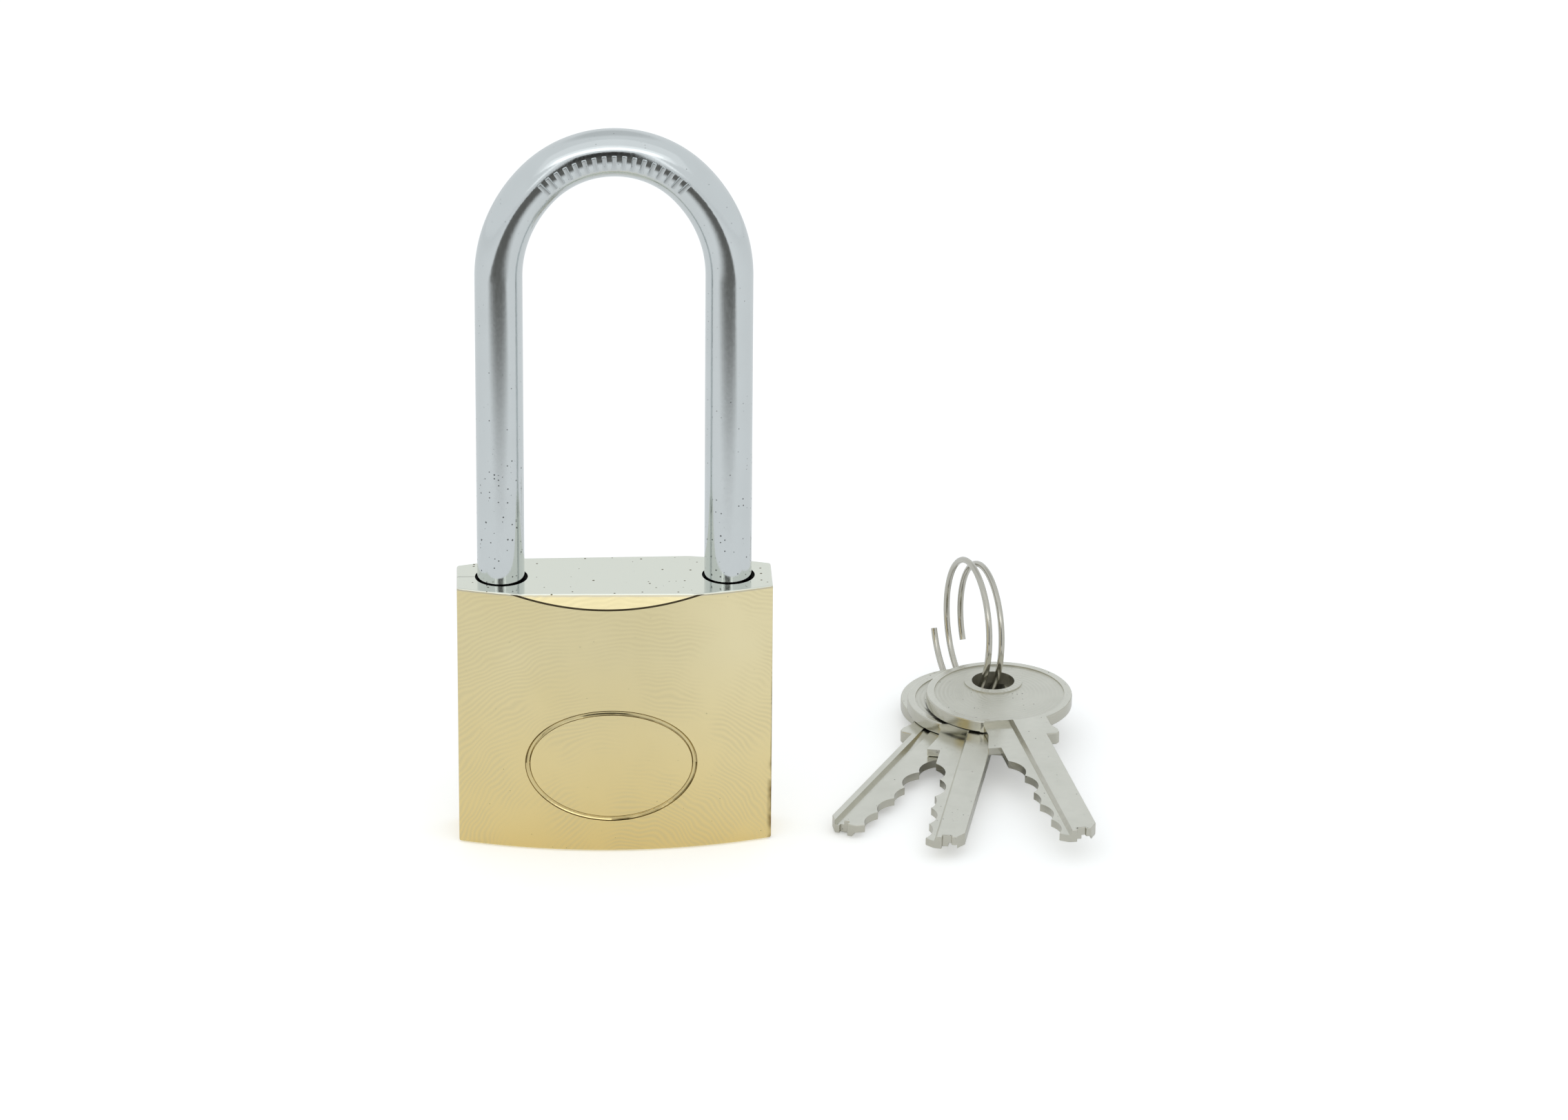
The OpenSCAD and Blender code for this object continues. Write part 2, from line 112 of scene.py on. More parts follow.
def drill(start, end, radius, facets=64):
    start, end = Vector(start), Vector(end)
    run = end - start
    return new_part("drill", bpy.ops.mesh.primitive_cylinder_add, vertices=facets, radius=radius, depth=run.length,
                    location=(start + end) / 2, rotation=run.to_track_quat("Z", "Y").to_euler())


def countersink(mouth, inward, radius, width):
    """A cone that opens the mouth of a bore; its narrow end starts a little inside the bore."""
    mouth, inward = Vector(mouth), Vector(inward)
    return new_part("countersink", bpy.ops.mesh.primitive_cone_add, vertices=64, radius1=radius + width + 1,
                    radius2=radius - 0.3, depth=width + 1.3, location=mouth + inward * (width - 0.7) / 2,
                    rotation=inward.to_track_quat("Z", "Y").to_euler())


def block(low, high):
    low, high = Vector(low), Vector(high)
    return new_part("block", bpy.ops.mesh.primitive_cube_add, size=1, location=(low + high) / 2, scale=high - low)


def saw(part, point, outward):
    """Saws off what lies beyond a plane and closes the cut."""
    only(part)
    bpy.ops.object.mode_set(mode="EDIT")
    bpy.ops.mesh.select_all(action="SELECT")
    bpy.ops.mesh.bisect(plane_co=point, plane_no=Vector(outward).normalized(), use_fill=True, clear_outer=True,
                        threshold=0.00001)
    bpy.ops.object.mode_set(mode="OBJECT")


def merge_flats(part):
    """Makes one face again of the flat facets that the cuts have left."""
    only(part)
    bpy.ops.object.mode_set(mode="EDIT")
    bpy.ops.mesh.select_all(action="SELECT")
    bpy.ops.mesh.dissolve_limited(angle_limit=math.radians(0.1))
    bpy.ops.object.mode_set(mode="OBJECT")


def break_edges(part, width, steeper_than=25, segments=3):
    """Breaks every edge sharper than the given angle with a small round."""
    merge_flats(part)
    bevel = part.modifiers.new("edges", "BEVEL")
    bevel.width = width
    bevel.segments = segments
    bevel.limit_method = "ANGLE"
    bevel.angle_limit = math.radians(steeper_than)
    bevel.use_clamp_overlap = True
    bpy.ops.object.modifier_apply(modifier=bevel.name)


def fit(part, body, finish, smooth=35):
    """Shades a finished part, gives it its finish and fixes it to the body that carries it."""
    merge_flats(part)
    part.data.transform(Matrix.Scale(mm, 4))
    bpy.ops.object.shade_smooth_by_angle(angle=math.radians(smooth))
    even = part.modifiers.new("even", "WEIGHTED_NORMAL")
    even.keep_sharp = True
    bpy.ops.object.modifier_apply(modifier=even.name)
    part.data.materials.clear()
    part.data.materials.append(finish)
    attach(part, body)


def feed(tree, given, socket):
    """Links a node's socket to what feeds it, or sets it to a fixed number, place or colour."""
    if isinstance(given, bpy.types.NodeSocket):
        tree.links.new(given, socket)
    elif socket.type == "RGBA":
        socket.default_value = (*given, 1)
    else:
        socket.default_value = given


def add(tree, kind, **inputs):
    """Adds a shader node and feeds some of its sockets."""
    node = tree.nodes.new("ShaderNode" + kind)
    for name, given in inputs.items():
        feed(tree, given, node.inputs[name])
    return node


def reckon(tree, operation, *terms):
    """Reckons one number from others, of which each is a number or a socket."""
    node = add(tree, "Math")
    node.operation = operation
    for term, socket in zip(terms, node.inputs):
        feed(tree, term, socket)
    return node.outputs["Value"]


def ramp(tree, value, low, high, at_low=0.0, at_high=1.0, kind="LINEAR"):
    """Runs from one number to another while a value runs from low to high, and holds beyond both."""
    node = add(tree, "MapRange", Value=value)
    node.interpolation_type = kind
    for name, given in (("From Min", low), ("From Max", high), ("To Min", at_low), ("To Max", at_high)):
        feed(tree, given, node.inputs[name])
    return node.outputs["Result"]


def blend(tree, share, first, second):
    """Mixes a share of the second colour into the first."""
    node = add(tree, "Mix")
    node.data_type = "RGBA"
    for name, given in (("Factor", share), ("A", first), ("B", second)):
        feed(tree, given, node.inputs[name])
    return node.outputs["Result"]


def distance(tree, place):
    """How far a place is from the origin."""
    node = add(tree, "VectorMath", Vector=place)
    node.operation = "LENGTH"
    return node.outputs["Value"]


def share_of(tree, attribute):
    """How much of a mark each face carries, as kept in the mesh."""
    node = add(tree, "Attribute")
    node.attribute_name = attribute
    return node.outputs["Fac"]


def rings(tree, place, direction, **inputs):
    """Even ring waves about an axis, as a tool leaves them when it turns."""
    node = add(tree, "TexWave", Vector=place, **inputs)
    node.wave_type = "RINGS"
    node.rings_direction = direction
    return node.outputs["Fac"]


def marks_group():
    """Handling marks in metal: broad unevenness, fine lines along one way, and small pits."""
    group = bpy.data.node_groups.new("handling_marks", "ShaderNodeTree")
    for name, value in (("Wave Scale", 60.0), ("Line Scale", 900.0), ("Pit Scale", 1500.0), ("Pit Share", 0.1)):
        socket = group.interface.new_socket(name, in_out="INPUT", socket_type="NodeSocketFloat")
        socket.default_value = value
    group.interface.new_socket("Lines Along", in_out="INPUT", socket_type="NodeSocketVector")
    for name in ("Wave", "Lines", "Pits"):
        group.interface.new_socket(name, in_out="OUTPUT", socket_type="NodeSocketFloat")
    given = group.nodes.new("NodeGroupInput").outputs
    result = group.nodes.new("NodeGroupOutput").inputs
    place = add(group, "TexCoord").outputs["Object"]
    wave = add(group, "TexNoise", Vector=place, Scale=given["Wave Scale"], Detail=3)
    feed(group, wave.outputs["Fac"], result["Wave"])
    stretch = add(group, "VectorMath")
    stretch.operation = "MULTIPLY"
    feed(group, place, stretch.inputs[0])
    feed(group, given["Lines Along"], stretch.inputs[1])
    lines = add(group, "TexNoise", Vector=stretch.outputs["Vector"], Scale=given["Line Scale"], Detail=5,
                Roughness=0.7)
    feed(group, lines.outputs["Fac"], result["Lines"])
    pits = add(group, "TexVoronoi", Vector=place, Scale=given["Pit Scale"])
    chance = add(group, "SeparateColor", Color=pits.outputs["Color"])
    size = ramp(group, chance.outputs["Red"], 0.45, 1.0, at_high=given["Pit Share"])
    feed(group, reckon(group, "LESS_THAN", pits.outputs["Distance"], size), result["Pits"])
    return group


handling_marks = marks_group()


def paint(finish, mask, tint):
    """Lays a colour over a metal's tone, but under its pits, where a mask says."""
    tone = finish.node_tree.nodes["pitted"].inputs["A"]
    feed(finish.node_tree, blend(finish.node_tree, mask, tone.links[0].from_socket, tint), tone)


def emboss(finish, height, depth):
    """Raises a finish by a height, or sinks it where the depth, in hundredths of a millimetre, is below zero."""
    tree = finish.node_tree
    facing = tree.nodes["Principled BSDF"].inputs["Normal"]
    bump = add(tree, "Bump", Height=height, Strength=1.0, Distance=abs(depth) * 0.01 * mm)
    bump.invert = depth < 0
    if facing.links:
        feed(tree, facing.links[0].from_socket, bump.inputs["Normal"])
    feed(tree, bump.outputs["Normal"], facing)


def metal(name, bright, dull, roughness, wave=(60, 0.1), lines=((1, 1, 1), 900, 0.05), pits=(1500, 0.08, 0.1)):
    """A metal finish: two tones that drift into each other, a range of roughness and raised or sunk marks.

    wave, lines and pits give each mark's scale and its depth in hundredths of a millimetre.
    """
    finish = bpy.data.materials.new(name)
    finish.use_nodes = True
    tree = finish.node_tree
    shader = tree.nodes["Principled BSDF"].inputs
    shader["Metallic"].default_value = 1.0
    marks = add(tree, "Group")
    marks.name = "marks"
    marks.node_tree = handling_marks
    for mark, setting in (("Wave Scale", wave[0]), ("Lines Along", lines[0]), ("Line Scale", lines[1]),
                          ("Pit Scale", pits[0]), ("Pit Share", pits[1])):
        marks.inputs[mark].default_value = setting
    tone = blend(tree, marks.outputs["Wave"], bright, dull)
    pitted = blend(tree, marks.outputs["Pits"], tone, tuple(0.2 * part for part in dull))
    pitted.node.name = "pitted"
    feed(tree, pitted, shader["Base Color"])
    feed(tree, ramp(tree, marks.outputs["Lines"], 0.3, 0.7, *roughness), shader["Roughness"])
    emboss(finish, marks.outputs["Wave"], wave[1])
    emboss(finish, marks.outputs["Lines"], lines[2])
    emboss(finish, marks.outputs["Pits"], -pits[2])
    return finish


polished_brass = metal("polished_brass", (0.89, 0.78, 0.48), (0.78, 0.665, 0.365), (0.09, 0.16),
                       wave=(70, 1.6), lines=((1, 1, 0.3), 500, 0.03), pits=(900, 0.06, 0.15))
brass = polished_brass.node_tree
place = add(brass, "TexCoord").outputs["Object"]
axes = add(brass, "SeparateXYZ", Vector=place).outputs
top_z = body_h * mm
# Painted reflection: the lower half is painted a deeper gold, the middle a little duller and the right side paler,
# as the polished faces would reflect the room. The top face is painted pale as a painted reflection of the bright
# room behind, with a darker brownish band painted along the top edge of its chamfers.
for axis, low, high, tint, share in (("X", -0.016, -0.002, (0.76, 0.66, 0.39), 0.5),
                                     ("X", 0.004, 0.019, (0.95, 0.84, 0.53), 0.6),
                                     ("Z", 0.034, 0.002, (0.91, 0.71, 0.31), 0.8),
                                     ("Z", top_z - 0.00045, top_z - 0.00035, (0.60, 0.55, 0.42), 0.9),
                                     ("Z", top_z - 0.0002, top_z - 0.0001, (0.83, 0.845, 0.75), 1.0)):
    paint(polished_brass, ramp(brass, axes[axis], low, high, at_high=share), tint)
# The top face is pitted more than the rest.
pitting = ramp(brass, axes["Z"], top_z - 0.0002, top_z - 0.0001, 0.06, 0.2)
feed(brass, pitting, brass.nodes["marks"].inputs["Pit Share"])
# Fine bent rows of polishing marks, stronger in some places than in others.
on_faces = ramp(brass, axes["Z"], top_z - 0.0001, top_z - 0.0002)
turned = add(brass, "Mapping", Vector=place, Location=(-0.002, 0, 0.006))
rows = rings(brass, turned.outputs["Vector"], "Y", Scale=430, Distortion=14, Detail=1, **{"Detail Scale": 0.4})
areas = add(brass, "TexNoise", Vector=place, Scale=90)
rubbed = reckon(brass, "MULTIPLY", rows, ramp(brass, areas.outputs["Fac"], 0.4, 0.58, at_high=on_faces))
paint(polished_brass, reckon(brass, "MULTIPLY", rubbed, 0.4), (0.70, 0.60, 0.35))
emboss(polished_brass, rubbed, 0.5)
# The front right edge is painted dark brown near the base, in uneven patches.
blotch_noise = add(brass, "TexNoise", Vector=place, Scale=260).outputs["Fac"]
at_front = ramp(brass, axes["Y"], -0.0034, -0.0044)
low_down = ramp(brass, axes["Z"], 0.017, 0.009, at_high=at_front, kind="SMOOTHSTEP")
edge_patches = reckon(brass, "MULTIPLY", ramp(brass, axes["X"], 0.0242, 0.0248), ramp(brass, blotch_noise, 0.42, 0.6))
paint(polished_brass, reckon(brass, "MULTIPLY", edge_patches, low_down), (0.26, 0.17, 0.06))
# The walls of the engraved line are painted dark, as painted shade, here more and there less.
uneven = ramp(brass, blotch_noise, 0.4, 0.62, at_low=0.55)
paint(polished_brass, reckon(brass, "MULTIPLY", share_of(brass, "groove_shade"), uneven), (0.16, 0.12, 0.05))
# Painted reflection: a fine dark line is painted along the faces, just under the curved edge of each chamfer, where
# the rounded edge would reflect the dark cloth.
from_deepest = reckon(brass, "ADD", axes["X"], chamfer_off * mm)
edge_z = reckon(brass, "MULTIPLY_ADD", reckon(brass, "MULTIPLY", from_deepest, from_deepest),
                chamfer_drop / half_chamfer / (2 * crown_r * mm), top_z - chamfer_drop * mm)
edge_reflection = reckon(brass, "COMPARE", reckon(brass, "SUBTRACT", edge_z, axes["Z"]), 0.00019, 0.00017)
paint(polished_brass, reckon(brass, "MULTIPLY", edge_reflection, on_faces), (0.07, 0.055, 0.03))
# The mouths of the leg holes are painted black, as painted shade in the gap round each leg.
from_leg = reckon(brass, "SUBTRACT", reckon(brass, "ABSOLUTE", axes["X"]), leg_x * mm)
around_leg = add(brass, "CombineXYZ", X=from_leg, Y=axes["Y"]).outputs["Vector"]
mouth_edge = (leg_mouth_r + 0.2) * mm
mouth_shade = ramp(brass, distance(brass, around_leg), mouth_edge + 0.00005, mouth_edge - 0.00005)
above_base = reckon(brass, "GREATER_THAN", axes["Z"], 0.001)
below_top = ramp(brass, axes["Z"], top_z - 0.00001, top_z - 0.00005, at_high=above_base)
paint(polished_brass, reckon(brass, "MULTIPLY", mouth_shade, below_top), (0.015, 0.014, 0.012))
turned_brass = metal("turned_brass", (0.66, 0.48, 0.22), (0.50, 0.34, 0.14), (0.22, 0.4))
bare_steel = metal("bare_steel", (0.42, 0.42, 0.43), (0.30, 0.30, 0.31), (0.25, 0.45))

body = new_part("lock_body", bpy.ops.mesh.primitive_cylinder_add, vertices=512, radius=crown_r, depth=body_h,
                location=(0, crown_r - mid_t / 2, body_h / 2))
back_curve = new_part("back_curve", bpy.ops.mesh.primitive_cylinder_add, vertices=512, radius=crown_r,
                      depth=2 * body_h, location=(0, mid_t / 2 - crown_r, body_h / 2))
machine(body, back_curve, operation="INTERSECT")
for side in (-1, 1):
    saw(body, (side * body_w / 2, 0, 0), (side, 0, 0))
break_edges(body, 0.3, steeper_than=20, segments=4)
for face in (-1, 1):
    saw(body, (0, face * top_flat_t / 2, body_h),
        (-chamfer_off / crown_r * chamfer_drop, face * chamfer_drop, half_chamfer))

# The front is engraved with a plain oval line, cut with a round-nosed tool.
emblem_x = -0.7
emblem_z = 14.8
emblem_half_w = 13.3
emblem_half_h = 9.15
groove_r = 0.44
groove_depth = 0.34


def swept(name, spots, radius, closed=False):
    """A round wire or tool path along a row of points."""
    line = bpy.data.curves.new(name, "CURVE")
    line.dimensions = "3D"
    line.bevel_depth = radius
    line.bevel_resolution = 5
    line.use_fill_caps = not closed
    run = line.splines.new("POLY")
    run.points.add(len(spots) - 1)
    for point, spot in zip(run.points, spots):
        point.co = (*spot, 1)
    run.use_cyclic_u = closed
    wire = bpy.data.objects.new(name, line)
    bpy.context.collection.objects.link(wire)
    only(wire)
    bpy.ops.object.convert(target="MESH")
    wire = bpy.context.active_object
    bpy.ops.object.mode_set(mode="EDIT")
    bpy.ops.mesh.select_all(action="SELECT")
    bpy.ops.mesh.remove_doubles(threshold=0.001)
    bpy.ops.mesh.normals_make_consistent(inside=False)
    bpy.ops.object.mode_set(mode="OBJECT")
    return wire


path = []
for step in range(144):
    around = math.tau * step / 144
    x = emblem_x + emblem_half_w * math.cos(around)
    surface = crown_r - mid_t / 2 - math.sqrt(crown_r ** 2 - x ** 2)
    path.append((x, surface - groove_r + groove_depth, emblem_z + emblem_half_h * math.sin(around)))
machine(body, swept("oval_groove", path, groove_r, closed=True))

# Bores for the legs, the plug, the latch, the tumblers and the two pins that keep the shackle and the plug.
plug_x = 2
plug_bore_r = 5.35
plug_bore_top = 38.1
latch_z = 39
latch_bore_r = 2.5
latch_bore_end = -11.45
tumbler_bore_r = 1.5
lowest_tumbler_z = 8.7
tumbler_pitch = 5.3
heel_pin_z = 25.22
heel_pin_bore_r = 1.11
plug_pin_x = 7.45
plug_pin_z = 3.2
plug_pin_bore_r = 0.76
beyond = round(body_w / 2) + 1
bores = []
for leg, floor_z in ((-1, 4.1), (1, 33.6)):
    bores.append(drill((leg * leg_x, 0, floor_z), (leg * leg_x, 0, body_h + 1), leg_bore_r))
    mouth_x = leg * leg_x + leg_mouth_off
    bores.append(drill((mouth_x, 0, body_h - leg_mouth_depth), (mouth_x, 0, body_h + 1), leg_mouth_r))
# The heel leg's hole is joined to the narrow side by a fine seam.
bores.append(block((-beyond, -0.05, body_h - 0.15), (-leg_x - 3, 0.05, body_h + 1)))
bores.append(drill((plug_x, 0, -1), (plug_x, 0, plug_bore_top), plug_bore_r))
bores.append(countersink((plug_x, 0, 0), (0, 0, 1), plug_bore_r, 0.15))
bores.append(drill((latch_bore_end, 0, latch_z), (beyond, 0, latch_z), latch_bore_r))
for tumbler in range(5):
    tumbler_z = lowest_tumbler_z + tumbler_pitch * tumbler
    bores.append(drill((3, 0, tumbler_z), (beyond, 0, tumbler_z), tumbler_bore_r, facets=32))
bores.append(drill((-beyond, 0, heel_pin_z), (-leg_x, 0, heel_pin_z), heel_pin_bore_r, facets=32))
bores.append(drill((plug_pin_x, 10, plug_pin_z), (plug_pin_x, -1.9, plug_pin_z), plug_pin_bore_r, facets=32))
machine(body, *bores)
# The steep walls of the engraved line are marked for the painted shade, most near its rim.
groove_shade = body.data.attributes.new("groove_shade", "FLOAT", "FACE")
for facet in body.data.polygons:
    x, y, z = facet.center
    reach = math.hypot((x - emblem_x) / emblem_half_w, (z - emblem_z) / emblem_half_h)
    sunk = y - (crown_r - mid_t / 2 - math.sqrt(crown_r ** 2 - x ** 2))
    if y < 0 and 0.9 < reach < 1.1 and sunk > 0.02:
        groove_shade.data[facet.index].value = 1.0 if sunk < 0.24 else 0.25
fit(body, "case", polished_brass, smooth=20)
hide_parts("body")


# ------------------------------------------------------------------ Shackle
# One hardened steel rod bent to a tall bow and chrome plated. The long heel leg is grooved for its pin
# and the short toe leg is notched for the latch; a row of grip bars is rolled into the front of the bow.
rod_r = 3.75
toe_tip_z = 34.2
latch_notch = (36.2, 41.8)
latch_notch_depth = 2.75
heel_end_z = 11.5
heel_groove = (13, 26.44)
heel_groove_depth = 0.95
spring_line_z = 94.2
bow_side_r = 22
side_arc_x = bow_side_r - leg_x
top_arc_r = bow_side_r - side_arc_x * math.sqrt(2)
top_arc_z = spring_line_z + side_arc_x

chrome = metal("chrome_plate", (0.71, 0.745, 0.755), (0.64, 0.67, 0.675), (0.07, 0.16),
               wave=(120, 0.9), lines=((1, 1, 0.5), 2200, 0.5), pits=(1430, 0.1, 0.3))

# The plating is pitted most where the legs enter the body.
plating = chrome.node_tree
height = add(plating, "SeparateXYZ", Vector=add(plating, "TexCoord").outputs["Object"]).outputs["Z"]
feed(plating, ramp(plating, height, 0.085, 0.048, 0.11, 0.26), plating.nodes["marks"].inputs["Pit Share"])

shackle = new_part("shackle_rod", bpy.ops.mesh.primitive_circle_add, vertices=64, radius=rod_r,
                   location=(leg_x, 0, toe_tip_z))
bpy.ops.object.mode_set(mode="EDIT")
bpy.ops.mesh.select_all(action="SELECT")
bpy.ops.mesh.extrude_region_move(TRANSFORM_OT_translate={"value": (0, 0, spring_line_z - toe_tip_z)})
for centre, turn, steps in (((-side_arc_x, 0, spring_line_z), 45, 24), ((0, 0, top_arc_z), 90, 48),
                            ((side_arc_x, 0, spring_line_z), 45, 24)):
    bpy.ops.mesh.spin(steps=steps, angle=math.radians(turn), center=centre, axis=(0, 1, 0))
bpy.ops.mesh.extrude_region_move(TRANSFORM_OT_translate={"value": (0, 0, heel_end_z - spring_line_z)})
bpy.ops.mesh.select_all(action="SELECT")
bpy.ops.mesh.remove_doubles(threshold=0.0001)
bpy.ops.mesh.select_all(action="DESELECT")
bpy.ops.mesh.select_non_manifold()
bpy.ops.mesh.edge_face_add()
bpy.ops.mesh.select_all(action="SELECT")
bpy.ops.mesh.normals_make_consistent(inside=False)
bpy.ops.object.mode_set(mode="OBJECT")
break_edges(shackle, 0.5, steeper_than=60)
cutters = []
for leg, (low_z, high_z), depth in ((leg_x, latch_notch, latch_notch_depth),
                                    (-leg_x, heel_groove, heel_groove_depth)):
    cutters.append(block((leg - rod_r - 1, -5, low_z), (leg - rod_r + depth, 5, high_z)))
machine(shackle, *cutters)
fit(shackle, "shackle_body", chrome, smooth=30)
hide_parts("shackle")

# Seventeen grip bars lie across the rod, side by side round the top of the bow.
bar_w = 0.75
bar_len = 2.4
bar_t = 0.5
bar_spacing = math.radians(5.4)
bar_facing = math.radians(8)
bar = new_part("grip_bars", bpy.ops.mesh.primitive_cube_add, size=1, scale=(bar_w, bar_len, bar_t))
break_edges(bar, 0.12, steeper_than=60, segments=2)
bars = []
for step in range(-8, 9):
    along = math.pi / 2 - bar_spacing * step
    outward = Vector((math.cos(along), 0, math.sin(along)))
    tangent = Vector((-math.sin(along), 0, math.cos(along)))
    face = Vector((0, -math.cos(bar_facing), 0)) - outward * math.sin(bar_facing)
    across = tangent.cross(face)
    spot = Vector((0, 0, top_arc_z)) + outward * top_arc_r + face * rod_r
    copy = bar.copy()
    copy.data = bar.data.copy()
    bpy.context.collection.objects.link(copy)
    copy.data.transform(Matrix((tangent, -across, face)).transposed().to_4x4())
    copy.data.transform(Matrix.Translation(spot))
    bars.append(copy)
bpy.data.objects.remove(bar)
only(bars[0])
for copy in bars[1:]:
    copy.select_set(True)
bpy.ops.object.join()
bars[0].name = "grip_bars"
fit(bars[0], "shackle_body", chrome)


# ------------------------------------------------------------------ Works inside the body
# Turned brass pins and plugs, drawn steel springs and pins. Only the ends of the caps, the heel pin
# and the latch bore's plug reach the outside, filed flush; the plug's face shows in the base.
flush_brass = metal("flush_brass", (0.62, 0.50, 0.26), (0.52, 0.40, 0.20), (0.18, 0.35),
                    lines=((1, 1, 0.1), 1200, 0.1))


def finish_node(name, finish):
    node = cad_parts[name]
    if not node.material_slots:
        node.data.materials.append(finish)
    for slot in node.material_slots:
        slot.material = finish


for name in ("tumbler_caps", "latch_bore_plug"):
    finish_node(name, flush_brass)
for name in ("cylinder_plug", "latch"):
    finish_node(name, turned_brass)
for number in range(1, 6):
    finish_node("driver_pin_%d" % number, turned_brass)
    finish_node("key_pin_%d" % number, turned_brass)
    finish_node("tumbler_spring_%d" % number, bare_steel)
for name in ("heel_pin", "plug_pin", "tailpiece", "shackle_spring", "latch_spring"):
    finish_node(name, bare_steel)


# ------------------------------------------------------------------ Keys
# Three flat keys stamped from brass strip and nickel plated. The blade is stepped and grooved to its
# keyway and cut with a round cutter; the bow has a raised rim round a sunken, finely ruled field.
key_t = 2.1
bow_r = 12.1
hole_r = 3.55
hole_off = 4.5
blade_w = 8.2
stop_w = 12.6
stop_y = -hole_off - 19.3
stop_rise = 2.2
stop_len = 3.4
tip_y = stop_y - 33.4
step_x = -0.2
rim_w = 1.3
field_depth = 0.2
cutter_r = 4.2
least_cut = 1.6
cut_step = 0.4

nickel = metal("nickel_plate", (0.81, 0.80, 0.725), (0.68, 0.675, 0.605), (0.16, 0.26),
               wave=(200, 0.4), lines=((1, 1, 1), 900, 0.02), pits=(1200, 0.14, 0.12))

# Walls that stand on edge are painted darker as painted shade, and the field in the bow is ruled with fine rings and
# a little rougher.
plating = nickel.node_tree
paint(nickel, reckon(plating, "MULTIPLY", share_of(plating, "edge_wall_shade"), 0.6), (0.46, 0.44, 0.37))
# Painted shadow under the rim of each bow that lies on another.
paint(nickel, share_of(plating, "contact_shadow"), (0.03, 0.027, 0.02))
blank = add(plating, "UVMap")
blank.uv_map = "blank"
in_field = ramp(plating, distance(plating, blank.outputs["UV"]), bow_r - rim_w + 0.1, bow_r - rim_w - 0.1)
rulings = rings(plating, blank.outputs["UV"], "Z", Scale=0.45)
emboss(nickel, reckon(plating, "MULTIPLY", rulings, in_field), 3)
shine = plating.nodes["Principled BSDF"].inputs["Roughness"]
rougher = add(plating, "Mix", Factor=in_field, A=shine.links[0].from_socket, B=0.42)
feed(plating, rougher.outputs["Result"], shine)


def plate(name, outline, low_z, high_z):
    """A flat piece with a given outline, standing between two heights."""
    piece = new_part(name, bpy.ops.mesh.primitive_circle_add, vertices=len(outline), fill_type="NGON")
    for corner, (x, y) in zip(piece.data.vertices, outline):
        corner.co = (x, y, low_z)
    bpy.ops.object.mode_set(mode="EDIT")
    bpy.ops.mesh.select_all(action="SELECT")
    bpy.ops.mesh.extrude_region_move(TRANSFORM_OT_translate={"value": (0, 0, high_z - low_z)})
    bpy.ops.mesh.select_all(action="SELECT")
    bpy.ops.mesh.normals_make_consistent(inside=False)
    bpy.ops.object.mode_set(mode="OBJECT")
    return piece


